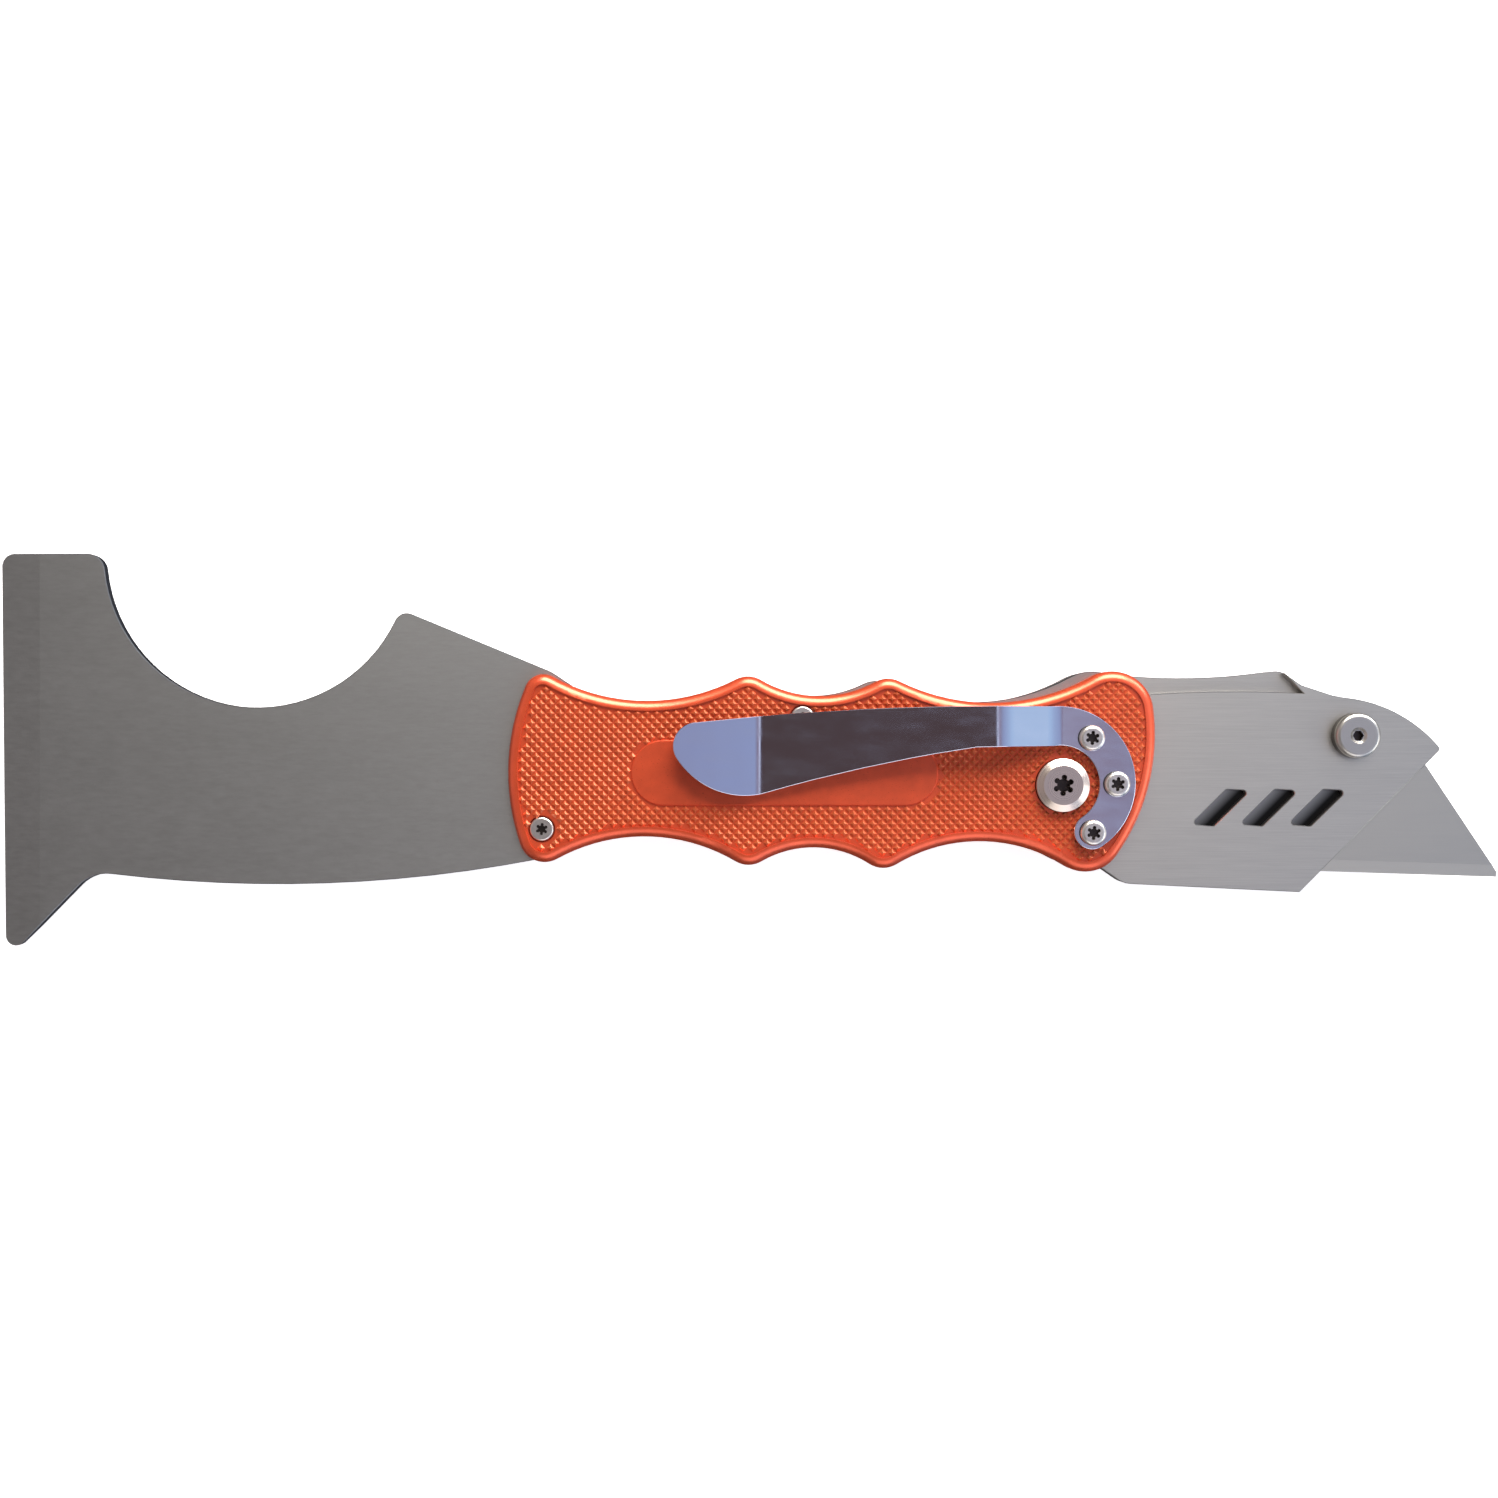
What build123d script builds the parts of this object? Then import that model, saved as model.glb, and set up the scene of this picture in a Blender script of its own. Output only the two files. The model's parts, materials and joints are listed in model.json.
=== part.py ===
"""Painters multi tool: scraper plate, knurled two-scale handle and folding utility-knife head.

Millimetres. The tool lies flat on its rear scale: X runs from the scraper (-X) to the knife (+X), Y across
the handle and Z up through the layers. The origin is the handle's centre on the rear scale's outer face.
Each layer is a flat outline, extruded between two named heights.
"""
from build123d import *
import os
from math import asin, degrees, hypot, sqrt

# Layer heights, from the rest face up
SCALE_T = 4.0
LINER_T = 1.2
CHANNEL_T = 4.6
PLATE_T = 2.0
Z_LINER = SCALE_T
Z_CHANNEL = Z_LINER + LINER_T
Z_PLATE = Z_CHANNEL + CHANNEL_T
Z_FRONT = Z_PLATE + PLATE_T
Z_TOP = Z_FRONT + SCALE_T

# Knife head layers, between two thrust washers
WASHER_T = 0.33
WASHER_GAP = 0.35
JAW_T = 1.6
BLADE_T = 0.65
Z_REAR_JAW = Z_CHANNEL + WASHER_GAP
Z_BLADE = Z_REAR_JAW + JAW_T
Z_FRONT_JAW = Z_PLATE - WASHER_GAP - JAW_T

# Handle
EDGE_ROUND = 1.5
BROKEN_EDGE = 0.12
BORDER = 1.6
# The circles the handle's edge follows, anticlockwise from the scraper end: centre x, centre y, radius, and
# the rounding of the corner where the arc starts. Positive radii are finger grooves, negative ones the bowed
# ends.
HANDLE_ARCS = [
    (-15.85, -0.3, -34.5, 3.0),
    (-29.2, -38.3, 28.0, 4.0),
    (-2.9, -28.0, 16.0, 4.0),
    (22.9, -36.05, 25.0, 4.0),
    (17.8, 5.5, -32.4, 6.0),
    (24.7, 42.5, 32.0, 6.5),
    (-1.9, 29.55, 18.0, 4.0),
    (-28.8, 41.1, 30.3, 4.0),
]
# The steel sheets under the scales share the other arcs, but their knife end and the two grooves beside it
# stand further back, so a sliver of steel shows past the spine's finger grooves.
SHEET_ARCS = HANDLE_ARCS[:4] + [
    (15.8, 5.5, -32.4, 6.0),
    (22.0, 42.75, 32.0, 7.2),
    (-3.0, 29.75, 18.0, 4.0),
] + HANDLE_ARCS[7:]
SHEET_INSET = 0.1
KNURL_DEPTH = 0.3
REAR_SCALE_INSET = 0.5
SPACER_INSET = 0.6
KNIFE_SWEEP_R = 72.4
SPINE_STRIP_END = -1.5
SPINE_STRIP_LOW = 8.0
PLATEAU_X = (-31.2, 16.4)
PLATEAU_Y = (-5.5, 4.7)
PLATEAU_BEVEL = 0.18

# Pivot and screws. SOCKET_FLOOR is the metal left under a socket, and SOCKET_TURN the angle of its first
# lobe.
SOCKET_FLOOR = 0.3
SOCKET_TURN = 25.0
PIVOT = (35.6, -2.3)
SLEEVE_R = 2.5
SLEEVE_SUNK = 1.35
WASHER_R = 5.2
CLEARANCE = 0.1
RUNNING_GAP = 0.05
PRESS_GAP = 0.01
SCREW_R = 1.5
SCREW_END_GAP = 0.3
PIVOT_HEAD_R = 4.1
PIVOT_HEAD_T = 2.6
PIVOT_HEAD_TOP_R = 3.05
PIVOT_HEAD_SLOPE = 0.5
PIVOT_SEAT = 1.2
PIVOT_SOCKET = 3.3
BODY_SCREWS = [(-45.0, -9.1), (-4.6, 8.1)]
BODY_HEAD_R = 1.85
BODY_HEAD_T = 1.0
BODY_HEAD_ROUND = 0.3
BODY_SEAT = 1.1
BODY_SEAT_GAP = 0.25
BODY_SHANK_R = 0.95
BODY_SOCKET = 1.9
STANDOFF_R = 2.0
CLIP_SCREWS = [(39.9, 5.0), (43.8, -2.1), (40.1, -9.6)]
CLIP_HEAD_R = 2.0
CLIP_HEAD_T = 1.3
CLIP_HEAD_ROUND = 0.6
CLIP_SHANK_R = 0.9
CLIP_SOCKET = 2.2
CLIP_SCREW_FLOOR = 0.5

# Scraper
NOTCH_R = 24.0
FRONT_X = -130.0
BEVEL_W = 6.0
FRONT_BEVEL_DROP = 0.2
REAR_BEVEL_DROP = 1.3

# Utility blade, a standard 61 x 19 mm trapezoid, tilted a little nose down in the jaws
BLADE_L = 61.0
BLADE_H = 19.0
BLADE_END_INSET = 13.0
BLADE_TIP_FLAT = 0.8
BLADE_BEVEL = 1.9
BLADE_EDGE_T = 0.08
BLADE_CENTRE = (39.6, -13.7)
BLADE_TILT = -1.88
BLADE_NOTCH_X = 6.25
BLADE_NOTCH_R = 1.5
BLADE_NOTCH_DEPTH = 1.4
KEY_PIN_R = 1.3
BLADE_POCKET_GAP = 0.15

# Tang and lock, from the pivot
TANG_R = 8.5
STOP_FACE_X = -0.05
LOCK_FACE_X = -4.0
LOCK_FACE_TOP = -5.0
STOP_PIN = (-1.6, 11.4)
STOP_PIN_R = 1.5
FOLD_ANGLE = 166.0

# Lock leaf and its detent ball
LEAF_ROOT_X = -7.9
LEAF_TIP_X = PIVOT[0] + LOCK_FACE_X - RUNNING_GAP
LEAF_TOP_Y = -7.6
LEAF_GAP = 0.3
LEAF_LIFT = 1.3
LEAF_ANGLE = degrees(asin(LEAF_LIFT / (LEAF_TIP_X - LEAF_ROOT_X)))
BALL_R = 0.75
BALL_AT = (PIVOT[0] - 8.0, PIVOT[1] - 6.5)
BALL_PROUD = 0.5
DETENT_DEPTH = 0.4

# Knife head, from the pivot
KNOB = (46.9, 7.7)
KNOB_R = 3.55
KNOB_T = 3.0
KNOB_ROUND = 0.7
KNOB_COUNTERSINK = (0.9, 1.3, 0.4)
KNOB_HEX = 1.5
KNOB_HEX_DEPTH = 1.6
CLAMP_NUT_R = 3.0
JAW_RIVETS = [(8.5, 9.5), (7.0, -8.0)]
JAW_RIVET_R = 1.25
WINDOW_COUNT = 3
WINDOW_PITCH = 7.65
SPINE_FALL = [(43.6, 14.05, 0, 0), (38.6, 15.7, 2.0, 0)]

# Clip. The profile's points are (x, height above the scale) of its lower face.
CLIP_T = 1.1
CLIP_BEND_R = 8.0
CLIP_PROFILE = [(50.0, 0), (34.3, 0), (26.3, 2.6), (-11.2, 0.1), (-26.0, 2.3)]
CLIP_RAMP_X = PIVOT[0] - 1.5

# How far cutting shapes run past what they cut
PAST = 1.0

PIVOT_POS = Pos(PIVOT[0], PIVOT[1])


# ---------------------------------------------------------------- shared shapes

def outline(rows):
    """A closed face from (x, y, fillet, bend) corners, anticlockwise. bend is the radius of the arc to the
    next corner: positive curves into the face, negative out of it, and 0 is straight."""
    edges = []
    for (x0, y0, _, bend), (x1, y1, _, _) in zip(rows, rows[1:] + rows[:1]):
        edges.append(RadiusArc((x0, y0), (x1, y1), bend) if bend else Line((x0, y0), (x1, y1)))
    face = make_face(edges)
    for x, y, radius, _ in rows:
        if radius:
            corner = face.vertices().sort_by_distance((x, y, 0))[0]
            face = fillet(corner, radius)
    return face


def layer(face, z, thickness):
    """A flat face turned into a plate standing on height z."""
    return Pos(0, 0, z) * extrude(face, thickness)


def broken_edges(plate, beyond=-200.0):
    """A plate with the sharp edges of its top face taken off, where they lie beyond an X position."""
    edges = plate.faces().sort_by(Axis.Z)[-1].edges()
    return chamfer([edge for edge in edges if edge.center().X > beyond], BROKEN_EDGE)


def rod(point, radius, z0, z1):
    """A round bar or hole along Z."""
    return Pos(point[0], point[1], (z0 + z1) / 2) * Cylinder(radius, z1 - z0)


def tube(point, outer, inner, z0, z1):
    return rod(point, outer, z0, z1) - rod(point, inner, z0 - PAST, z1 + PAST)


def strip(x0, x1, y0, y1):
    """A flat rectangle given by its limits."""
    return Pos((x0 + x1) / 2, (y0 + y1) / 2) * Rectangle(x1 - x0, y1 - y0)


def pivot_point(point):
    """A point given from the pivot, in the tool's frame."""
    return PIVOT[0] + point[0], PIVOT[1] + point[1]


def star_socket(point, across, z0, z1):
    """A six-lobe screwdriver recess."""
    lobe_r = across * 0.13
    face = Circle(across * 0.31)
    for lobe in PolarLocations(across / 2 - lobe_r, 6, SOCKET_TURN):
        face += lobe * Circle(lobe_r)
    return Pos(point[0], point[1]) * layer(face, z0, z1 - z0)


def button_screw(point, head_r, head_t, rounding, socket, shank_r, z_seat, z_end):
    """A domed screw: its head stands on z_seat and its shank runs down to z_end."""
    head = rod(point, head_r, z_seat, z_seat + head_t)
    head = fillet(head.edges().group_by(Axis.Z)[-1], rounding)
    head -= star_socket(point, socket, z_seat + SOCKET_FLOOR, z_seat + head_t + PAST)
    return head + rod(point, shank_r, z_end, z_seat)


def flipped(shape):
    """The same piece at the rear of the handle, turned over about the handle's mid layer."""
    return mirror(shape, Plane.XY.offset(Z_TOP / 2))


# ---------------------------------------------------------------- handle

def crossing(circle_a, circle_b):
    """Where two (x, y, radius) circles cross, on the side nearer the handle's long axis."""
    (xa, ya, ra), (xb, yb, rb) = circle_a, circle_b
    gap = hypot(xb - xa, yb - ya)
    along = (gap**2 + ra**2 - rb**2) / (2 * gap)
    across = sqrt(ra**2 - along**2)
    ux, uy = (xb - xa) / gap, (yb - ya) / gap
    points = [(xa + along * ux - s * uy, ya + along * uy + s * ux) for s in (across, -across)]
    return min(points, key=lambda point: abs(point[1]))


def handle_outline(inset=0, arcs=HANDLE_ARCS):
    """Finger-grooved outline, six groove arcs between two bowed ends, moved in by inset."""
    circles = [(x, y, abs(radius + inset)) for x, y, radius, _ in arcs]
    rows = []
    for index, (_, _, radius, rounding) in enumerate(arcs):
        x, y = crossing(circles[index - 1], circles[index])
        rows.append((x, y, rounding - inset, radius + inset))
    return outline(rows)


def plateau():
    """The smooth pill on each scale, level with the border."""
    length = PLATEAU_X[1] - PLATEAU_X[0]
    height = PLATEAU_Y[1] - PLATEAU_Y[0]
    middle = Pos(sum(PLATEAU_X) / 2, sum(PLATEAU_Y) / 2)
    return middle * SlotOverall(length, height)


def sheet_outline():
    """The outline of the steel sheets between the scales."""
    return handle_outline(SHEET_INSET, SHEET_ARCS)


def scale_blank(inset):
    """A scale without its holes, with its outer face up at Z_TOP."""
    blank = layer(handle_outline(inset), Z_FRONT, SCALE_T)
    blank = fillet(blank.edges().group_by(Axis.Z)[-1], EDGE_ROUND)
    field = handle_outline(BORDER) - plateau()
    blank -= layer(field, Z_TOP - KNURL_DEPTH, PAST)
    # The widest flat faces are the inner face, the sunk field and the pill's top, which is the highest
    top_of_pill = blank.faces().filter_by(Plane.XY).sort_by(SortBy.AREA)[-3:].sort_by(Axis.Z)[-1]
    return chamfer(top_of_pill.edges(), PLATEAU_BEVEL)


def scale_holes():
    """Screw seats and holes shared by both scales, for a scale with its outer face at Z_TOP."""
    sleeve_top = Z_FRONT + SLEEVE_SUNK + RUNNING_GAP
    holes = rod(PIVOT, SLEEVE_R + RUNNING_GAP, Z_FRONT - PAST, sleeve_top)
    holes += rod(PIVOT, SCREW_R + CLEARANCE, Z_FRONT, Z_TOP)
    holes += rod(PIVOT, PIVOT_HEAD_R + CLEARANCE, Z_TOP - PIVOT_SEAT, Z_TOP + PAST)
    for point in BODY_SCREWS:
        holes += rod(point, BODY_SHANK_R + CLEARANCE, Z_FRONT - PAST, Z_TOP)
        holes += rod(point, BODY_HEAD_R + BODY_SEAT_GAP, Z_TOP - BODY_SEAT, Z_TOP + PAST)
    return holes


def front_scale():
    scale = scale_blank(0) - scale_holes()
    for point in CLIP_SCREWS:
        scale -= rod(point, CLIP_SHANK_R + RUNNING_GAP, Z_FRONT + CLIP_SCREW_FLOOR, Z_TOP + PAST)
    return scale


def rear_scale():
    return flipped(scale_blank(REAR_SCALE_INSET) - scale_holes())


def sheet_holes(z0, z1):
    """Pivot and body-screw holes through the liner and the scraper's tang."""
    holes = rod(PIVOT, SLEEVE_R + RUNNING_GAP, z0, z1)
    for point in BODY_SCREWS:
        holes += rod(point, BODY_SHANK_R + CLEARANCE, z0, z1)
    return holes


def edge_bevel(face_z, drop):
    """A wedge that grinds the scraper's wide edge by drop, down to nothing BEVEL_W further back."""
    past_drop = drop * (BEVEL_W + PAST) / BEVEL_W
    section = make_face(Polyline(
        (FRONT_X - PAST, face_z + past_drop),
        (FRONT_X + BEVEL_W, face_z),
        (FRONT_X - PAST, face_z - drop),
        close=True,
    ))
    return Rot(90, 0, 0) * extrude(section, 50, both=True)


def scraper_blade():
    """Painters scraper: wide bevelled edge, roller-cleaning notch, hook, and a full-length tang."""
    head = outline([
        (FRONT_X, 33.9, 2.0, 0),
        (-129.35, -29.8, 1.6, 0),
        (-115.8, -15.9, 6.0, -215.0),
        (-43.0, -13.4, 0, 0),
        (-39.3, 12.3, 0, 0),
        (-44.0, 15.45, 8.0, 0),
        (-67.6, 25.2, 2.0, NOTCH_R),
        (-114.0, 33.9, 2.7, 0),
    ])
    plate = broken_edges(layer(head, Z_PLATE, PLATE_T) + layer(sheet_outline(), Z_PLATE, PLATE_T))
    plate -= edge_bevel(Z_FRONT, -FRONT_BEVEL_DROP) + edge_bevel(Z_PLATE, REAR_BEVEL_DROP)
    return plate - sheet_holes(Z_PLATE - PAST, Z_FRONT + PAST)


def leaf_region():
    """The strip of liner that the lock leaf is cut from."""
    return strip(LEAF_ROOT_X, LEAF_TIP_X, -20, LEAF_TOP_Y)


def lock_liner():
    """Rear liner sheet, with the lock leaf's slot open at the finger edge."""
    slot = strip(LEAF_ROOT_X - CLEARANCE, LEAF_TIP_X + LEAF_GAP, -20, LEAF_TOP_Y + LEAF_GAP)
    face = sheet_outline() - slot
    return layer(face, Z_LINER, LINER_T) - sheet_holes(Z_LINER - PAST, Z_CHANNEL + PAST)


def sprung(shape):
    """The lock leaf's pieces at rest: bent up about the leaf's root, behind the knife's tang."""
    root = Pos(LEAF_ROOT_X, 0, Z_LINER + LINER_T / 2)
    return root * Rot(0, -LEAF_ANGLE, 0) * root.inverse() * shape


def lock_leaf():
    face = sheet_outline() & leaf_region()
    ball_hole = rod(BALL_AT, BALL_R, Z_LINER - PAST, Z_CHANNEL + PAST)
    return sprung(layer(face, Z_LINER, LINER_T) - ball_hole)


def detent_ball():
    height = Z_CHANNEL + BALL_PROUD - BALL_R
    return sprung(Pos(BALL_AT[0], BALL_AT[1], height) * Sphere(BALL_R - PRESS_GAP))


def back_spacer():
    """Block at the scraper end and a strip along the spine, clear of the folded knife's sweep."""
    inset = handle_outline(SPACER_INSET)
    sweep = PIVOT_POS * Circle(KNIFE_SWEEP_R)
    block = (inset & strip(-60, -30, -20, 20)) - sweep
    spine = inset & strip(-60, SPINE_STRIP_END, SPINE_STRIP_LOW, 20)
    spacer = layer(block + spine, Z_CHANNEL, CHANNEL_T)
    for point in BODY_SCREWS:
        spacer -= rod(point, STANDOFF_R + CLEARANCE, Z_CHANNEL - PAST, Z_PLATE + PAST)
    return spacer


def standoff(point):
    return tube(point, STANDOFF_R, BODY_SHANK_R + RUNNING_GAP, Z_CHANNEL, Z_PLATE)


def stop_pin():
    return rod(pivot_point(STOP_PIN), STOP_PIN_R, Z_CHANNEL, Z_PLATE)


def pivot_sleeve():
    """Barrel through both scales that the knife turns on, threaded for a screw at each end."""
    return tube(PIVOT, SLEEVE_R, SCREW_R + RUNNING_GAP, Z_LINER - SLEEVE_SUNK, Z_FRONT + SLEEVE_SUNK)


def pivot_screw():
    """Front pivot screw, with a proud, widely bevelled head."""
    seat = Z_TOP - PIVOT_SEAT
    crown = seat + PIVOT_HEAD_T
    shoulder = crown - PIVOT_HEAD_SLOPE
    bevel = Cone(PIVOT_HEAD_R, PIVOT_HEAD_TOP_R, PIVOT_HEAD_SLOPE)
    head = rod(PIVOT, PIVOT_HEAD_R, seat, shoulder)
    head += PIVOT_POS * Pos(0, 0, (shoulder + crown) / 2) * bevel
    head -= star_socket(PIVOT, PIVOT_SOCKET, seat + SOCKET_FLOOR, crown + PAST)
    return head + rod(PIVOT, SCREW_R, Z_TOP / 2 + SCREW_END_GAP, seat)


def rear_pivot_screw():
    """Rear pivot screw, sunk below the rest face."""
    seat = Z_TOP - PIVOT_SEAT
    head = rod(PIVOT, PIVOT_HEAD_R, seat, Z_TOP - CLEARANCE)
    head -= star_socket(PIVOT, PIVOT_SOCKET, seat + SOCKET_FLOOR, Z_TOP + PAST)
    return flipped(head + rod(PIVOT, SCREW_R, Z_TOP / 2 + SCREW_END_GAP, seat))


def washer(z):
    return tube(PIVOT, WASHER_R, SLEEVE_R + CLEARANCE, z, z + WASHER_T)


def body_screws():
    """Two recessed screws from the front, each threaded into a standoff."""
    seat = Z_TOP - BODY_SEAT
    end = Z_TOP / 2 + SCREW_END_GAP
    head = (BODY_HEAD_R, BODY_HEAD_T, BODY_HEAD_ROUND, BODY_SOCKET)
    return [button_screw(point, *head, BODY_SHANK_R, seat, end) for point in BODY_SCREWS]


def clip_screws():
    seat = Z_TOP + CLIP_T
    end = Z_FRONT + CLIP_SCREW_FLOOR + SCREW_END_GAP
    head = (CLIP_HEAD_R, CLIP_HEAD_T, CLIP_HEAD_ROUND, CLIP_SOCKET)
    return [button_screw(point, *head, CLIP_SHANK_R, seat, end) for point in CLIP_SCREWS]


def clip_plan():
    """The clip seen from the front: a hook-shaped base round the pivot, and an arm with a rounded tip."""
    base = [
        ThreePointArc((CLIP_RAMP_X, 3.75), (41.2, -2.3), (38.6, -7.1)),
        ThreePointArc((38.6, -7.1), (37.8, -11.06), (41.5, -11.76)),
        ThreePointArc((41.5, -11.76), (46.75, -2.3), (CLIP_RAMP_X, 9.9)),
    ]
    arm = [
        Line((CLIP_RAMP_X, 9.9), (22.0, 9.9)),
        ThreePointArc((22.0, 9.9), (-1.6, 9.1), (-21.0, 7.4)),
        ThreePointArc((-21.0, 7.4), (-24.57, 3.77), (-24.0, 1.81)),
        ThreePointArc((-24.0, 1.81), (-20.6, -1.71), (-11.0, -3.68)),
        ThreePointArc((-11.0, -3.68), (4.7, 0.35), (22.0, 3.55)),
        Line((22.0, 3.55), (CLIP_RAMP_X, 3.75)),
    ]
    return make_face(base + arm)


def clip_profile():
    """The clip seen edge on: flat base, ramp up, arm sloping down to the scale, and a lifted tip."""
    high = [(x, z + CLIP_T) for x, z in reversed(CLIP_PROFILE)]
    face = make_face(Polyline(CLIP_PROFILE + high, close=True))
    for x, z in CLIP_PROFILE[1:-1] + high[1:-1]:
        bend = face.vertices().sort_by_distance((x, z, 0))[0]
        face = fillet(bend, CLIP_BEND_R)
    return Pos(0, 0, Z_TOP) * Rot(90, 0, 0) * extrude(face, 20, both=True)


def pocket_clip():
    clip = layer(clip_plan(), Z_TOP - PAST, 8) & clip_profile()
    for point in CLIP_SCREWS:
        clip -= rod(point, CLIP_SHANK_R + CLEARANCE, Z_TOP - PAST, Z_TOP + CLIP_T + PAST)
    return clip


# ---------------------------------------------------------------- knife head, from the pivot, open

def jaw_face(back):
    """A jaw's outline: tang with stop and lock faces, belly, angled nose, and the given back corners."""
    return outline([
        (STOP_FACE_X, TANG_R, 0, -TANG_R),
        (-6.87, LOCK_FACE_TOP, 0, 0),
        (LOCK_FACE_X, LOCK_FACE_TOP, 0.4, 0),
        (LOCK_FACE_X, -7.5, 0, -TANG_R),
        (0.3, -8.495, 0, 0),
        (10.6, -15.65, 4.0, 0),
        (38.4, -17.0, 0.3, 0),
        (60.7, 5.6, 0.5, -22.3),
        (45.6, 13.7, 0, 0),
    ] + back + [(STOP_FACE_X, 13.4, 0.6, 0)])


def front_jaw_face():
    """The front jaw stops below the spine, and runs up beside its right-hand end as a thin horn."""
    return jaw_face(SPINE_FALL + [
        (36.0, 17.6, 0, 0),
        (39.0, 14.4, 0, -200.0),
        (14.5, 14.2, 0, 0),
    ])


def rear_jaw_face():
    """The rear jaw's spine stands above the front jaw."""
    return jaw_face(SPINE_FALL + [
        (36.3, 18.1, 3.0, 0),
        (33.2, 17.8, 0, 94.0),
        (11.9, 17.2, 2.0, 0),
    ])


def blade_plan(grow=0):
    """The blade in its own frame, cutting edge along X."""
    half = BLADE_L / 2
    face = make_face(Polyline(
        (-half, 0), (half, 0), (half, BLADE_TIP_FLAT), (half - BLADE_END_INSET, BLADE_H),
        (BLADE_END_INSET - half, BLADE_H), (-half, BLADE_TIP_FLAT), close=True,
    ))
    return offset(face, grow) if grow else face


BLADE_POS = Pos(BLADE_CENTRE[0], BLADE_CENTRE[1]) * Rot(0, 0, BLADE_TILT)


def knife_holes(z0, z1):
    """Pivot bore and rivet holes through both jaws and the spacer."""
    holes = rod((0, 0), SLEEVE_R + RUNNING_GAP, z0, z1)
    for point in JAW_RIVETS:
        holes += rod(point, JAW_RIVET_R + PRESS_GAP, z0, z1)
    return holes


def window(index):
    """One of the slanted windows in the front jaw."""
    return outline([
        (26.8 + WINDOW_PITCH * index, -0.75, 0.5, 0),
        (21.2 + WINDOW_PITCH * index, -6.3, 0.5, 0),
        (24.85 + WINDOW_PITCH * index, -6.6, 0.5, 0),
        (30.6 + WINDOW_PITCH * index, -0.95, 0.5, 0),
    ])


def front_jaw():
    face = front_jaw_face()
    for index in range(WINDOW_COUNT):
        face -= window(index)
    jaw = broken_edges(layer(face, Z_FRONT_JAW, JAW_T), beyond=0)
    jaw -= rod(KNOB, SCREW_R + CLEARANCE, 0, Z_TOP)
    return PIVOT_POS * (jaw - knife_holes(0, Z_TOP))


def detent_hole():
    """Where the detent ball sits once the knife has folded, given from the pivot."""
    folded = Vector(BALL_AT[0] - PIVOT[0], BALL_AT[1] - PIVOT[1]).rotate(Axis.Z, FOLD_ANGLE)
    return rod((folded.X, folded.Y), BALL_R + CLEARANCE, Z_REAR_JAW - PAST, Z_REAR_JAW + DETENT_DEPTH)


def rear_jaw():
    jaw = broken_edges(layer(rear_jaw_face(), Z_REAR_JAW, JAW_T), beyond=0)
    jaw -= rod(KNOB, CLAMP_NUT_R + PRESS_GAP, 0, Z_TOP)
    return PIVOT_POS * (jaw - knife_holes(0, Z_TOP) - detent_hole())


def jaw_spacer():
    """The sheet that holds the jaws apart round the blade, open below the cutting edge."""
    below = BLADE_POS * strip(-BLADE_L / 2, BLADE_L, -20, 1)
    face = front_jaw_face() - BLADE_POS * blade_plan(BLADE_POCKET_GAP) - below
    largest = face.faces().sort_by(SortBy.AREA)[-1]
    spacer = layer(largest, Z_BLADE, Z_FRONT_JAW - Z_BLADE)
    return PIVOT_POS * (spacer - knife_holes(0, Z_TOP) - rod(KNOB, SCREW_R + CLEARANCE, 0, Z_TOP))


def blade_notches():
    """The two round-ended notches in the blade's back."""
    floor = BLADE_H - BLADE_NOTCH_DEPTH
    notch = strip(-BLADE_NOTCH_R, BLADE_NOTCH_R, floor, BLADE_H + PAST)
    notch += Pos(0, floor) * Circle(BLADE_NOTCH_R)
    return Pos(-BLADE_NOTCH_X, 0) * notch + Pos(BLADE_NOTCH_X, 0) * notch


def utility_blade():
    """Trapezoid blade, ground to a sharp edge from both sides."""
    half_t = BLADE_T / 2
    section = make_face(Polyline(
        (0, BLADE_EDGE_T / 2), (0, -BLADE_EDGE_T / 2), (BLADE_BEVEL, -half_t), (BLADE_H, -half_t),
        (BLADE_H, half_t), (BLADE_BEVEL, half_t), close=True,
    ))
    ground = extrude(Plane.YZ * section, BLADE_L, both=True)
    blade = layer(blade_plan() - blade_notches(), -half_t, BLADE_T) & ground
    return PIVOT_POS * Pos(0, 0, Z_BLADE + half_t) * BLADE_POS * blade


def blade_key_pins():
    """Two pins between the jaws that key into the blade's notches."""
    centres = [BLADE_POS * Pos(x, BLADE_H - BLADE_NOTCH_DEPTH) for x in (-BLADE_NOTCH_X, BLADE_NOTCH_X)]
    gap = Z_FRONT_JAW - Z_BLADE
    return [PIVOT_POS * Pos(0, 0, Z_BLADE + gap / 2) * at * Cylinder(KEY_PIN_R, gap) for at in centres]


def jaw_rivets():
    return [rod(pivot_point(point), JAW_RIVET_R, Z_REAR_JAW, Z_PLATE - WASHER_GAP) for point in JAW_RIVETS]


def clamp_nut():
    return tube(pivot_point(KNOB), CLAMP_NUT_R, SCREW_R + RUNNING_GAP, Z_REAR_JAW, Z_BLADE)


def clamp_knob():
    """Round thumb knob with a hex socket, screwed through the jaws into the clamp nut."""
    top_of_jaw = Z_PLATE - WASHER_GAP
    centre = pivot_point(KNOB)
    head = rod(centre, KNOB_R, top_of_jaw, top_of_jaw + KNOB_T)
    head = fillet(head.edges().group_by(Axis.Z)[-1], KNOB_ROUND)
    crown = top_of_jaw + KNOB_T
    head -= Pos(centre[0], centre[1], crown - KNOB_COUNTERSINK[2] / 2) * Cone(*KNOB_COUNTERSINK)
    socket = RegularPolygon(KNOB_HEX / 2, 6, major_radius=False)
    head -= Pos(centre[0], centre[1]) * layer(socket, crown - KNOB_HEX_DEPTH, KNOB_HEX_DEPTH + PAST)
    return head + rod(centre, SCREW_R, Z_REAR_JAW, top_of_jaw)


# ---------------------------------------------------------------- build

def group(shapes):
    """Several separate solids under one name."""
    return Compound(children=[shape.solid() for shape in shapes])


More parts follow.
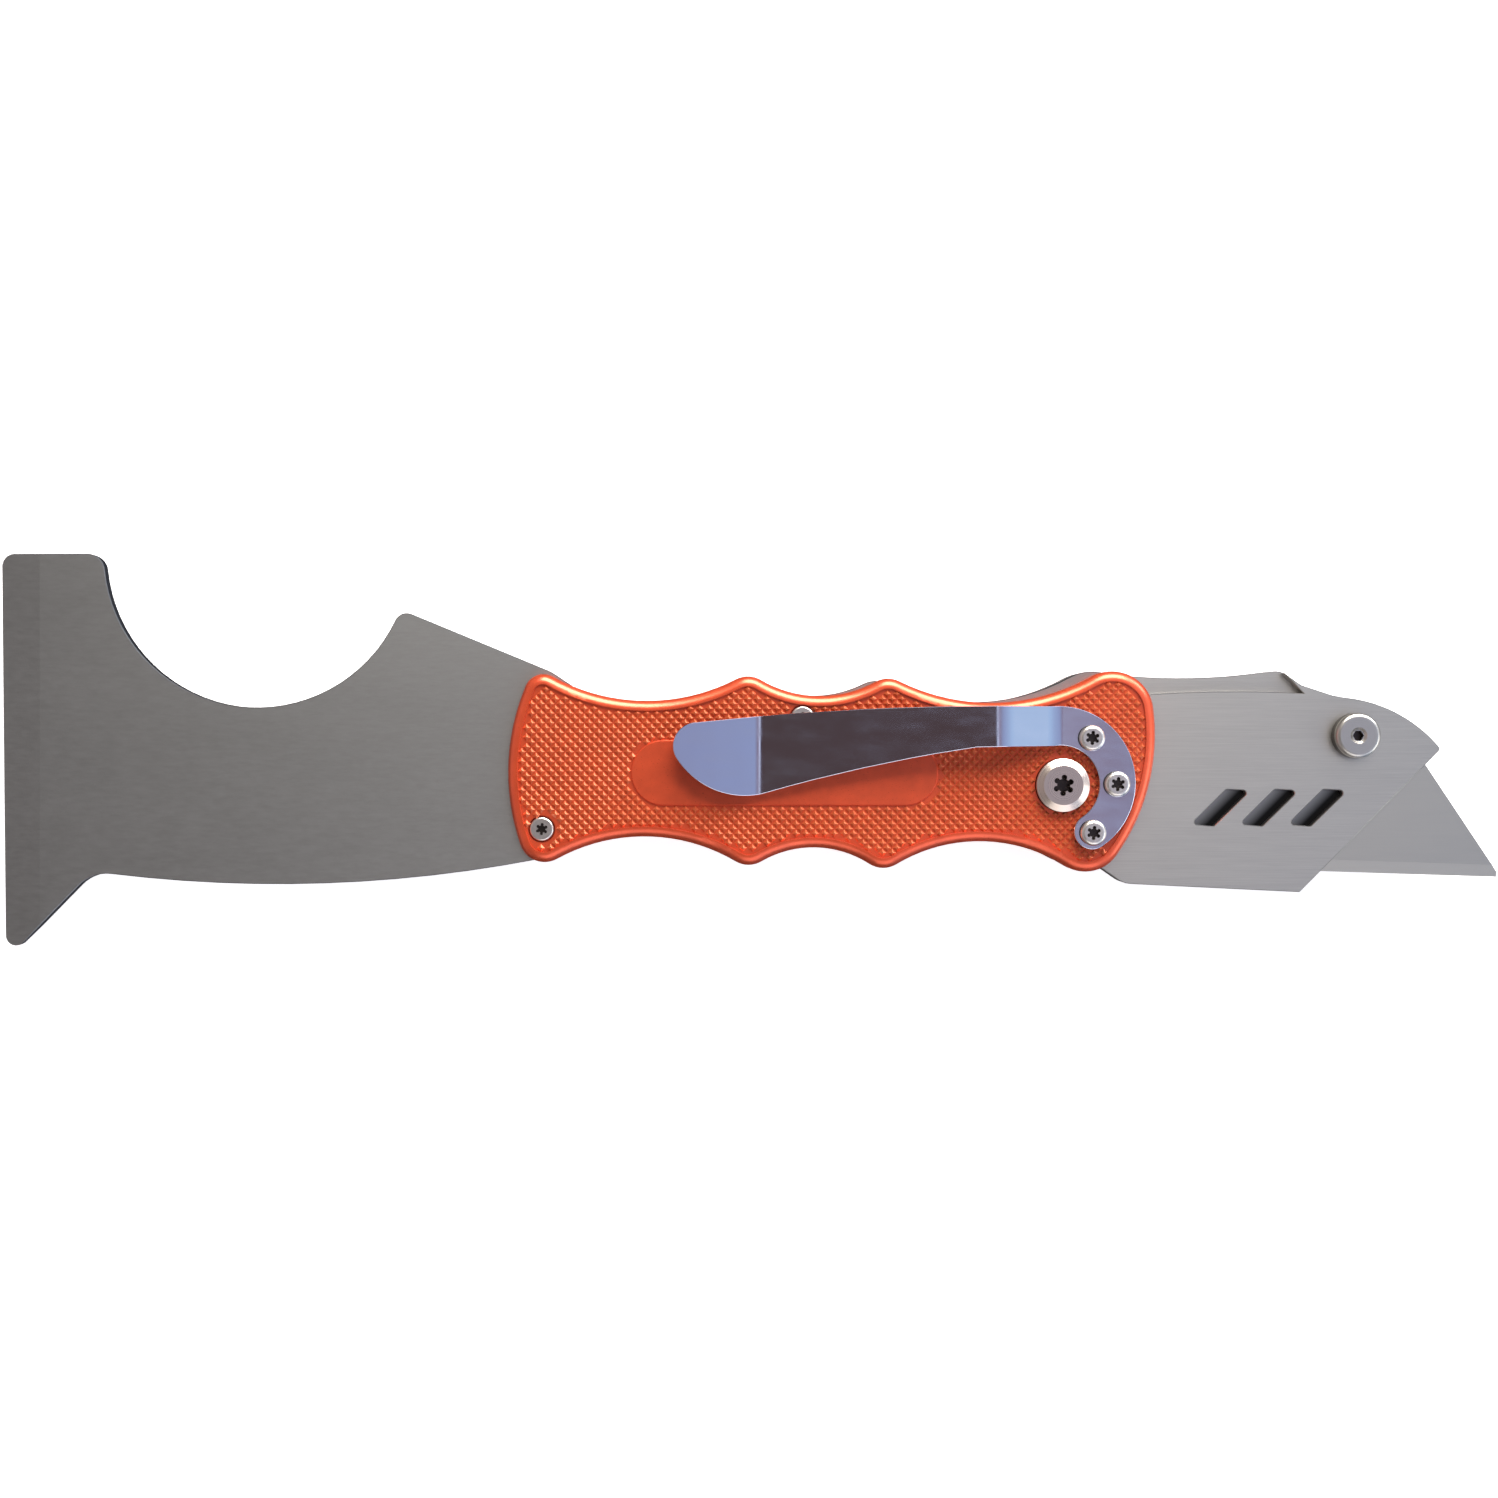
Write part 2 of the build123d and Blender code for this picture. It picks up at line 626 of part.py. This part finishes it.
PARTS = {
    "scraper_blade": scraper_blade(),
    "front_scale": front_scale(),
    "rear_scale": rear_scale(),
    "lock_liner": lock_liner(),
    "lock_leaf": lock_leaf(),
    "detent_ball": detent_ball(),
    "back_spacer": back_spacer(),
    "end_standoff": standoff(BODY_SCREWS[0]),
    "mid_standoff": standoff(BODY_SCREWS[1]),
    "stop_pin": stop_pin(),
    "pivot_sleeve": pivot_sleeve(),
    "pivot_screw": pivot_screw(),
    "rear_pivot_screw": rear_pivot_screw(),
    "front_washer": washer(Z_PLATE - WASHER_T),
    "rear_washer": washer(Z_CHANNEL),
    "front_body_screws": group(body_screws()),
    "rear_body_screws": group([flipped(screw) for screw in body_screws()]),
    "pocket_clip": pocket_clip(),
    "clip_screws": group(clip_screws()),
    "rear_jaw": rear_jaw(),
    "front_jaw": front_jaw(),
    "jaw_spacer": jaw_spacer(),
    "utility_blade": utility_blade(),
    "blade_key_pins": group(blade_key_pins()),
    "jaw_rivets": group(jaw_rivets()),
    "clamp_nut": clamp_nut(),
    "clamp_knob": clamp_knob(),
}

os.makedirs("parts", exist_ok=True)
for name, shape in PARTS.items():
    export_step(shape, f"parts/{name}.step")
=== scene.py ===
"""Looks for the painters multi tool: knurled grips, a round-edged clip, procedural finishes and a studio."""
import json
import math
import bmesh
import bpy
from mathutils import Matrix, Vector
from mathutils.bvhtree import BVHTree


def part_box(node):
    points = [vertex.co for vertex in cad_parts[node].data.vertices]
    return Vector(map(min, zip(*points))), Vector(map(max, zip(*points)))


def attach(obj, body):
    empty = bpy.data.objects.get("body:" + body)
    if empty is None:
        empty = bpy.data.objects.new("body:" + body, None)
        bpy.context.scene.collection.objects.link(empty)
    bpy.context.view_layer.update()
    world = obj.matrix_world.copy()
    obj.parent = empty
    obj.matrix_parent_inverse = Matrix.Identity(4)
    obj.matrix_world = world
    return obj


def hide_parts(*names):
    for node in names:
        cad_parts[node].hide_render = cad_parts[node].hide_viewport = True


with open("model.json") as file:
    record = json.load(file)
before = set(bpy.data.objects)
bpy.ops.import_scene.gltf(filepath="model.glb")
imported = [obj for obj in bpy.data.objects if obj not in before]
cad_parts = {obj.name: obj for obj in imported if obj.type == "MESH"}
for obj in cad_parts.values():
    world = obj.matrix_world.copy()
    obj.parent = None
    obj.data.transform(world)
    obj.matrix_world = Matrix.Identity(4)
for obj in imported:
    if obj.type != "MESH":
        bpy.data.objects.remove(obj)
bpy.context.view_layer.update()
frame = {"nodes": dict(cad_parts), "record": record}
nodes = frame["nodes"]

MM = 0.001

# Knurling: the diamonds' half widths at foot and crown, how far they sink into the field, and how far short
# of the scale's face they stop
DIAMOND_PITCH = 1.49 * MM
DIAMOND_BASE = 0.70 * MM
DIAMOND_CROWN = 0.20 * MM
KNURL_DEPTH = 0.3 * MM
DIAMOND_SUNK = 0.05 * MM
DIAMOND_SHY = 0.02 * MM
FIELD_TOLERANCE = 0.02 * MM

# Rounding the clip's edges
CLIP_ROUNDING = 0.33 * MM
ROUNDING_STEPS = 3
SHARP_ANGLE = math.radians(35)
FLAT_ANGLE = math.radians(1.0)
MERGE_DISTANCE = 0.002 * MM

# The pivot's and the clamp knob's axes
PIVOT = (35.6 * MM, -2.3 * MM)
KNOB = (82.5 * MM, 5.4 * MM)

# Where the jaws' slanted nose and windows lie, as X minus Y, and the painted shade on the blade beneath them
JAW_NOSE = 93.4 * MM
NOSE_PAINTED_SHADE = (-1.5 * MM, -0.5 * MM)
WINDOW_START = 64.9 * MM
WINDOW_PITCH = 7.65 * MM
# Painted shade across each window: grey at its foot, near black beyond
WINDOW_PAINTED_SHADE = [(0, (0.34,) * 3), (0.45, (0.012,) * 3), (1, (0.012,) * 3)]

# How fine the textures are, in features per metre, along X, Y and Z
BRUSHED = (110, 6500, 6500)
SATIN = (500, 2500, 2500)
SLOW_TONE = (14, 60, 60)
CLIP_SMEARS = (160, 420, 420)
CLIP_WAVES = (200, 70, 70)
TURNING_RINGS = 7000
TURNED_GRAIN = 3500
DYE_MOTTLE = 420
BLASTED_GRAIN = 5200

# The textures' relief
SCRATCH_RELIEF = 0.002 * MM
TURNED_RELIEF = 0.003 * MM
BLASTED_RELIEF = 0.006 * MM
WAVE_RELIEF = 0.06 * MM

# Painted shade in the sockets and at the foot of screw heads, and how softly it ends
PAINTED_SHADE_COLOUR = (0.07, 0.06, 0.055)
PAINTED_SHADE_FADE = 0.1 * MM

# The room's colour against the X direction, from -1 at position 0 to +1 at position 1, and how bright it is
# below the horizon
ROOM = [
    (0.0, (0.62, 0.52, 0.52)),
    (0.15, (0.42, 0.36, 0.36)),
    (0.30, (0.16, 0.16, 0.16)),
    (0.40, (0.14, 0.135, 0.135)),
    (0.425, (0.088, 0.056, 0.055)),
    (0.51, (0.088, 0.056, 0.055)),
    (0.53, (0.10, 0.09, 0.14)),
    (0.54, (0.80, 0.80, 0.95)),
    (0.55, (0.80, 0.80, 0.95)),
    (0.567, (0.38, 0.35, 0.47)),
    (0.583, (0.30, 0.22, 0.27)),
    (0.605, (0.30, 0.28, 0.38)),
    (0.64, (0.34, 0.37, 0.55)),
    (0.82, (0.47, 0.60, 0.79)),
    (1.0, (0.75, 0.75, 0.80)),
]
HORIZON = (-0.10, 0.05)
UNDERSIDE = 0.15
BACKDROP = (0.86, 0.86, 0.87)

# Floor
FLOOR_HALF = 2.0
FLOOR_Z = -0.02 * MM
FLOOR_GLOW = 0.62

# Camera, looking straight down on the tool
CAMERA_AT = (-12.9 * MM, 3.3 * MM, 337.5 * MM)
LENS = 49.96
SENSOR = 36.0


# ---------------------------------------------------------------- material helpers

def fill_ramp(ramp, stops):
    """Gives a colour ramp node its (position, colour) stops."""
    elements = ramp.color_ramp.elements
    while len(elements) < len(stops):
        elements.new(1.0)
    for element, (position, colour) in zip(elements, stops):
        element.position = position
        element.color = (*colour, 1)


def shade(colour, factor):
    return tuple(channel * factor for channel in colour)


class Finish:
    """A Principled material whose nodes are added by name."""

    def __init__(self, name, colour, metallic, roughness):
        self.material = bpy.data.materials.new(name)
        self.material.use_nodes = True
        self.tree = self.material.node_tree
        self.shader = self.tree.nodes["Principled BSDF"]
        self.shader.inputs["Base Color"].default_value = (*colour, 1)
        self.shader.inputs["Metallic"].default_value = metallic
        self.shader.inputs["Roughness"].default_value = roughness

    def node(self, kind, **values):
        made = self.tree.nodes.new(kind)
        for name, value in values.items():
            setattr(made, name, value)
        return made

    def link(self, source, target):
        self.tree.links.new(source, target)

    def mapped(self, location=(0, 0, 0), scale=(1, 1, 1)):
        """Object coordinates, moved and scaled."""
        place = self.node("ShaderNodeTexCoord")
        mapping = self.node("ShaderNodeMapping")
        mapping.inputs["Location"].default_value = location
        mapping.inputs["Scale"].default_value = scale
        self.link(place.outputs["Object"], mapping.inputs["Vector"])
        return mapping.outputs["Vector"]

    def position(self):
        """The object coordinates as separate X, Y and Z."""
        place = self.node("ShaderNodeTexCoord")
        split = self.node("ShaderNodeSeparateXYZ")
        self.link(place.outputs["Object"], split.inputs[0])
        return split.outputs

    def compute(self, operation, *values):
        """A math node fed with numbers and the results of other nodes."""
        made = self.node("ShaderNodeMath", operation=operation)
        for socket, value in zip(made.inputs, values):
            if isinstance(value, float):
                socket.default_value = value
            else:
                self.link(value, socket)
        return made.outputs[0]

    def noise(self, scale, detail, roughness=0.55):
        """Noise of one scale in every direction, or of a scale each along X, Y and Z."""
        texture = self.node("ShaderNodeTexNoise")
        texture.inputs["Detail"].default_value = detail
        texture.inputs["Roughness"].default_value = roughness
        if isinstance(scale, tuple):
            texture.inputs["Scale"].default_value = 1.0
            self.link(self.mapped(scale=scale), texture.inputs["Vector"])
        else:
            texture.inputs["Scale"].default_value = scale
            self.link(self.mapped(), texture.inputs["Vector"])
        return texture.outputs["Fac"]

    def rings(self, axis):
        """Fine rings round an upright axis through (x, y)."""
        radius = self.node("ShaderNodeVectorMath", operation="LENGTH")
        self.link(self.mapped((-axis[0], -axis[1], 0), (1, 1, 0)), radius.inputs[0])
        texture = self.node("ShaderNodeTexNoise", noise_dimensions="1D")
        texture.inputs["Scale"].default_value = TURNING_RINGS
        texture.inputs["Detail"].default_value = 2.0
        self.link(radius.outputs["Value"], texture.inputs["W"])
        return texture.outputs["Fac"]

    def spread(self, value, low, high, from_low=0.3, from_high=0.7):
        """A value stretched from the middle of a noise to the range low to high."""
        stretch = self.node("ShaderNodeMapRange")
        limits = (("From Min", from_low), ("From Max", from_high), ("To Min", low), ("To Max", high))
        for name, number in limits:
            stretch.inputs[name].default_value = number
        self.link(value, stretch.inputs["Value"])
        return stretch.outputs["Result"]

    def ramp(self, value, stops):
        """A colour ramp from (position, colour) stops."""
        ramp = self.node("ShaderNodeValToRGB")
        fill_ramp(ramp, stops)
        self.link(value, ramp.inputs["Fac"])
        return ramp.outputs["Color"]

    def tone(self, noise, low, high=1.0):
        """Noise as a grey between two strengths, to multiply a colour with."""
        return self.ramp(self.spread(noise, 0, 1), [(0, (low,) * 3), (1, (high,) * 3)])

    def multiply(self, colour_a, colour_b):
        mix = self.node("ShaderNodeMix", data_type="RGBA", blend_type="MULTIPLY")
        mix.inputs["Factor"].default_value = 1.0
        self.link(colour_a, mix.inputs[6])
        self.link(colour_b, mix.inputs[7])
        return mix.outputs[2]

    def bump(self, height, distance, strength):
        bump = self.node("ShaderNodeBump")
        bump.inputs["Strength"].default_value = strength
        bump.inputs["Distance"].default_value = distance
        self.link(height, bump.inputs["Height"])
        return bump.outputs["Normal"]

    def set(self, name, source):
        self.link(source, self.shader.inputs[name])


# ---------------------------------------------------------------- materials

def brushed_steel(name, colour, roughness, contrast, grain=BRUSHED, slowest=0.97):
    """Sheet steel brushed along X: fine scratches over a slow change of tone, down to slowest."""
    finish = Finish(name, colour, 1.0, roughness)
    scratches = finish.noise(grain, 4.0, 0.7)
    stops = [(0, shade(colour, 1 - contrast)), (1, shade(colour, 1 + contrast))]
    fine = finish.ramp(finish.spread(scratches, 0, 1), stops)
    slow = finish.tone(finish.noise(SLOW_TONE, 2.0), slowest)
    finish.set("Base Color", finish.multiply(fine, slow))
    finish.set("Roughness", finish.spread(scratches, roughness * 0.92, roughness * 1.08))
    finish.set("Normal", finish.bump(scratches, SCRATCH_RELIEF, 0.35))
    return finish.material


def blade_finish():
    """Ground blade steel with painted shade: dark where the jaws cover it, and painted lighter at the foot of
    their windows.
    """
    colour = (0.53, 0.512, 0.46)
    finish = Finish("blade_steel", colour, 1.0, 0.36)
    scratches = finish.noise(BRUSHED, 4.0, 0.7)
    place = finish.position()
    # Painted shade: the blade's own colour past the nose, and under the jaws a dark painted gradient that
    # repeats with each window
    slant = finish.compute("SUBTRACT", place["X"], place["Y"])
    open_air = finish.spread(slant, 0, 1, JAW_NOSE + NOSE_PAINTED_SHADE[0], JAW_NOSE + NOSE_PAINTED_SHADE[1])
    across = finish.compute("SUBTRACT", slant, WINDOW_START)
    window = finish.spread(finish.compute("WRAP", across, WINDOW_PITCH, 0.0), 0, 1, 0.0, WINDOW_PITCH)
    painted_window_shade = finish.ramp(window, WINDOW_PAINTED_SHADE)
    mix = finish.node("ShaderNodeMix", data_type="RGBA")
    mix.inputs[7].default_value = (*colour, 1)
    finish.link(open_air, mix.inputs["Factor"])
    finish.link(painted_window_shade, mix.inputs[6])
    finish.set("Base Color", finish.multiply(mix.outputs[2], finish.tone(scratches, 0.96)))
    finish.set("Roughness", finish.spread(scratches, 0.33, 0.39))
    finish.set("Normal", finish.bump(scratches, SCRATCH_RELIEF, 0.35))
    return finish.material


def turned_steel(name, colour, roughness, shade_below=-1.0, axis=None):
    """Small turned parts, with a fine grain, or with turning rings round an (x, y) axis. Below a height in
    metres, the sockets and the foot of the heads get painted shade."""
    finish = Finish(name, colour, 1.0, roughness)
    grain = finish.rings(axis) if axis else finish.noise(TURNED_GRAIN, 2.0)
    # Painted shade: below the given height the colour turns dark, then fades into the steel's own colour
    fade = (shade_below - PAINTED_SHADE_FADE, shade_below + PAINTED_SHADE_FADE)
    height = finish.spread(finish.position()["Z"], 0, 1, *fade)
    shaded_colour = finish.ramp(height, [(0, PAINTED_SHADE_COLOUR), (1, colour)])
    finish.set("Base Color", finish.multiply(shaded_colour, finish.tone(grain, 0.95)))
    finish.set("Roughness", finish.spread(grain, roughness * 0.9, roughness * 1.1))
    finish.set("Normal", finish.bump(grain, TURNED_RELIEF, 0.5))
    return finish.material


def polished_clip():
    """Mirror-polished spring steel with a faint blue temper tint."""
    finish = Finish("polished_clip", (0.72, 0.78, 0.92), 1.0, 0.12)
    finish.set("Roughness", finish.spread(finish.noise(CLIP_SMEARS, 3.0), 0.08, 0.18))
    finish.set("Normal", finish.bump(finish.noise(CLIP_WAVES, 1.0), WAVE_RELIEF, 0.22))
    return finish.material


def orange_anodised(name, colour):
    """Dyed, blasted aluminium with a clear seal."""
    finish = Finish(name, colour, 0.60, 0.31)
    stops = [(0, shade(colour, 0.90)), (1, shade(colour, 1.06))]
    finish.set("Base Color", finish.ramp(finish.spread(finish.noise(DYE_MOTTLE, 4.0), 0, 1), stops))
    grain = finish.noise(BLASTED_GRAIN, 3.0)
    finish.set("Roughness", finish.spread(grain, 0.27, 0.37))
    finish.set("Normal", finish.bump(grain, BLASTED_RELIEF, 0.6))
    finish.shader.inputs["Coat Weight"].default_value = 0.5
    finish.shader.inputs["Coat Roughness"].default_value = 0.28
    return finish.material


# ---------------------------------------------------------------- pieces

def new_piece(name, mesh_maker, body, material):
    """A mesh piece filled in by mesh_maker, riding on a body."""
    mesh = bpy.data.meshes.new(name)
    shape = bmesh.new()
    mesh_maker(shape)
    shape.to_mesh(mesh)
    shape.free()
    piece = bpy.data.objects.new(name, mesh)
    bpy.context.scene.collection.objects.link(piece)
    mesh.materials.append(material)
    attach(piece, body)
    return piece


def add_diamond(shape, x, y, root, crown):
    """One truncated pyramid from height root to height crown, as a closed island."""
    rings = []
    for half, z in ((DIAMOND_BASE, root), (DIAMOND_CROWN, crown)):
        corners = ((half, 0), (0, half), (-half, 0), (0, -half))
        rings.append([shape.verts.new((x + dx, y + dy, z)) for dx, dy in corners])
    low, high = rings
    faces = [list(reversed(low)), high]
    for i in range(4):
        j = (i + 1) % 4
        faces.append([low[i], low[j], high[j], high[i]])
    for face in faces:
        shape.faces.new(face if crown > root else list(reversed(face)))


def knurl(scale, outward):
    """Diamonds over the sunk field of a scale. outward is +1 for the front scale and -1 for the rear one."""
    surface = BVHTree.FromObject(nodes[scale], bpy.context.evaluated_depsgraph_get())
    low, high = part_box(scale)
    face_z = high.z if outward > 0 else low.z
    field_z = face_z - outward * KNURL_DEPTH
    reach = DIAMOND_BASE / 2

    def in_field(x, y):
        hit = surface.ray_cast(Vector((x, y, face_z + outward * MM)), Vector((0, 0, -outward)))
        return hit[0] is not None and abs(hit[0].z - field_z) < FIELD_TOLERANCE

    def fill(shape):
        step = DIAMOND_PITCH / 2
        for row in range(int((high.y - low.y) / step)):
            for column in range(int((high.x - low.x) / step)):
                if (row + column) % 2:
                    continue
                x = low.x + column * step
                y = low.y + row * step
                probes = ((x, y), (x + reach, y), (x - reach, y), (x, y + reach), (x, y - reach))
                if all(in_field(*probe) for probe in probes):
                    root = field_z - outward * DIAMOND_SUNK
                    add_diamond(shape, x, y, root, face_z - outward * DIAMOND_SHY)

    return fill


def softened(node, width, material, body):
    """A copy of a CAD node with its sharp edges rounded, standing in for the node."""
    source = nodes[node]
    mesh = source.data.copy()
    mesh.materials.clear()
    mesh.materials.append(material)
    shape = bmesh.new()
    shape.from_mesh(mesh)
    bmesh.ops.remove_doubles(shape, verts=shape.verts, dist=MERGE_DISTANCE)
    bmesh.ops.dissolve_limit(shape, angle_limit=FLAT_ANGLE, verts=shape.verts, edges=shape.edges)
    for face in shape.faces:
        face.material_index = 0
        face.smooth = True
    shape.to_mesh(mesh)
    shape.free()
    piece = bpy.data.objects.new(node + "_rounded", mesh)
    bpy.context.scene.collection.objects.link(piece)
    bevel = piece.modifiers.new("edges", "BEVEL")
    bevel.width = width
    bevel.segments = ROUNDING_STEPS
    bevel.limit_method = "ANGLE"
    bevel.angle_limit = SHARP_ANGLE
    bevel.use_clamp_overlap = True
    weighted = piece.modifiers.new("normals", "WEIGHTED_NORMAL")
    weighted.weight = 100
    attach(piece, body)
    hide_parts(node)
    return piece


# ---------------------------------------------------------------- studio

def area_light(name, at, size, power, colour):
    """A soft square light aimed at the tool."""
    data = bpy.data.lights.new(name, "AREA")
    data.size = size
    data.energy = power
    data.color = colour
    light = bpy.data.objects.new(name, data)
    light.location = at
    light.rotation_euler = (-Vector(at)).to_track_quat("-Z", "Y").to_euler()
    bpy.context.scene.collection.objects.link(light)
    return light


def shine(light, state, objects):
    """Makes a light shine only on some objects ("INCLUDE"), or on all but them ("EXCLUDE")."""
    receivers = bpy.data.collections.new(light.name + "_receivers")
    for receiver in objects:
        receivers.objects.link(receiver)
    for entry in receivers.collection_objects:
        entry.light_linking.link_state = state
    light.light_linking.receiver_collection = receivers


def studio_world():
    """A plain room seen by reflection: dim over the scraper end, dark overhead, pale blue over the knife end.
    Seen directly, it is one plain pale backdrop."""
    world = bpy.data.worlds.new("studio")
    world.use_nodes = True
    tree = world.node_tree
    direction = tree.nodes.new("ShaderNodeTexCoord")
    split = tree.nodes.new("ShaderNodeSeparateXYZ")
    tree.links.new(direction.outputs["Generated"], split.inputs[0])
    along = tree.nodes.new("ShaderNodeMapRange")
    along.inputs["From Min"].default_value = -1.0
    tree.links.new(split.outputs["X"], along.inputs["Value"])
    ramp = tree.nodes.new("ShaderNodeValToRGB")
    fill_ramp(ramp, ROOM)
    tree.links.new(along.outputs["Result"], ramp.inputs["Fac"])
    above = tree.nodes.new("ShaderNodeMapRange")
    above.inputs["From Min"].default_value = HORIZON[0]
    above.inputs["From Max"].default_value = HORIZON[1]
    above.inputs["To Min"].default_value = UNDERSIDE
    tree.links.new(split.outputs["Z"], above.inputs["Value"])
    room = tree.nodes["Background"]
    tree.links.new(ramp.outputs["Color"], room.inputs["Color"])
    tree.links.new(above.outputs["Result"], room.inputs["Strength"])
    backdrop = tree.nodes.new("ShaderNodeBackground")
    backdrop.inputs["Color"].default_value = (*BACKDROP, 1)
    seen = tree.nodes.new("ShaderNodeLightPath")
    mix = tree.nodes.new("ShaderNodeMixShader")
    tree.links.new(seen.outputs["Is Camera Ray"], mix.inputs[0])
    tree.links.new(room.outputs[0], mix.inputs[1])
    tree.links.new(backdrop.outputs[0], mix.inputs[2])
    tree.links.new(mix.outputs[0], tree.nodes["World Output"].inputs["Surface"])
    bpy.context.scene.world = world


def camera():
    data = bpy.data.cameras.new("camera")
    data.lens = LENS
    data.sensor_width = SENSOR
    data.clip_start = 0.01
    made = bpy.data.objects.new("camera", data)
    made.location = CAMERA_AT
    bpy.context.scene.collection.objects.link(made)
    bpy.context.scene.camera = made


def floor():
    """A pale sheet of paper, lit a little from within and left out of the steel's reflections."""
    mesh = bpy.data.meshes.new("floor")
    half = FLOOR_HALF
    corners = [(-half, -half, 0), (half, -half, 0), (half, half, 0), (-half, half, 0)]
    mesh.from_pydata(corners, [], [(0, 1, 2, 3)])
    made = bpy.data.objects.new("floor", mesh)
    made.location.z = FLOOR_Z
    bpy.context.scene.collection.objects.link(made)
    paper = Finish("floor_paper", (0.92, 0.92, 0.92), 0.0, 0.9)
    paper.shader.inputs["Emission Color"].default_value = (1, 1, 1, 1)
    paper.shader.inputs["Emission Strength"].default_value = FLOOR_GLOW
    mesh.materials.append(paper.material)
    made.visible_glossy = False


# ---------------------------------------------------------------- build the looks

camera()
studio_world()
floor()
key_top = area_light("key_top", (0.15, 0.80, 0.50), 0.65, 23.0, (1.0, 0.95, 0.88))
key_right = area_light("key_right", (0.65, 0.55, 0.28), 0.4, 4.5, (1.0, 0.96, 0.95))
key_sheet = area_light("key_sheet", (0.25, 0.78, 0.45), 0.7, 1.5, (1.0, 0.96, 0.90))
over_sheet = area_light("over_sheet", (0.0, 0.30, 0.80), 0.6, 1.7, (1.0, 0.96, 0.88))
area_light("right", (0.95, -0.30, 0.42), 0.6, 2.6, (1.0, 0.99, 0.98))
area_light("low", (0.1, -0.8, 0.7), 0.8, 3.2, (1.0, 0.98, 0.96))

clip_steel = polished_clip()
orange = orange_anodised("orange_anodised", (0.68, 0.084, 0.027))
# A lighter, less saturated copy of the orange for the knurl diamonds: a painted highlight standing in for
# their sheen
painted_sheen_orange = orange_anodised("orange_anodised_painted_sheen", (0.60, 0.118, 0.038))

SLOT_MATERIALS = {
    "scraper_steel": brushed_steel("scraper_steel", (0.335, 0.335, 0.33), 0.42, 0.06, SATIN, 0.93),
    "orange_anodised": orange,
    "liner_steel": brushed_steel("liner_steel", (0.45, 0.45, 0.45), 0.38, 0.05),
    "screw_steel": turned_steel("screw_steel", (0.70, 0.66, 0.62), 0.34),
    "washer_bronze": turned_steel("washer_bronze", (0.62, 0.42, 0.20), 0.35),
    "clip_steel": clip_steel,
    "jaw_steel": brushed_steel("jaw_steel", (0.50, 0.487, 0.455), 0.40, 0.08),
    "blade_steel": blade_finish(),
}
# The heights given after the roughness are where the painted shade in the sockets and at the foot of each
# head ends
SCREW_MATERIALS = {
    "pivot_screw": turned_steel("pivot_screw_steel", (0.68, 0.58, 0.52), 0.30, 16.0 * MM, PIVOT),
    "front_body_screws": turned_steel("body_screw_steel", (0.72, 0.68, 0.64), 0.34, 15.2 * MM),
    "clip_screws": turned_steel("clip_screw_steel", (0.74, 0.70, 0.66), 0.34, 17.5 * MM),
    "clamp_knob": turned_steel("knob_steel", (0.52, 0.505, 0.475), 0.34, 11.3 * MM, KNOB),
}
FLAT_STEEL = ["scraper_blade", "lock_liner", "lock_leaf", "front_jaw", "rear_jaw", "utility_blade"]
SLOT_OF = {part["node"]: part["material_slot"] for part in frame["record"]["subparts"]}
for name, node in nodes.items():
    for index in range(len(node.material_slots)):
        material = SCREW_MATERIALS.get(name, SLOT_MATERIALS[SLOT_OF[name]])
        node.material_slots[index].material = material

new_piece("front_knurl", knurl("front_scale", 1), "handle", painted_sheen_orange)
new_piece("rear_knurl", knurl("rear_scale", -1), "handle", painted_sheen_orange)
clip = softened("pocket_clip", CLIP_ROUNDING, clip_steel, "handle")

# The flat steel gets its own weaker lights, so that no view shows it burnt out
flat_nodes = [nodes[name] for name in FLAT_STEEL]
shine(key_top, "EXCLUDE", [clip] + flat_nodes)
shine(key_right, "EXCLUDE", [clip] + flat_nodes)
shine(key_sheet, "INCLUDE", [clip] + flat_nodes)
shine(over_sheet, "INCLUDE", flat_nodes)

bpy.context.scene.view_settings.view_transform = "Standard"
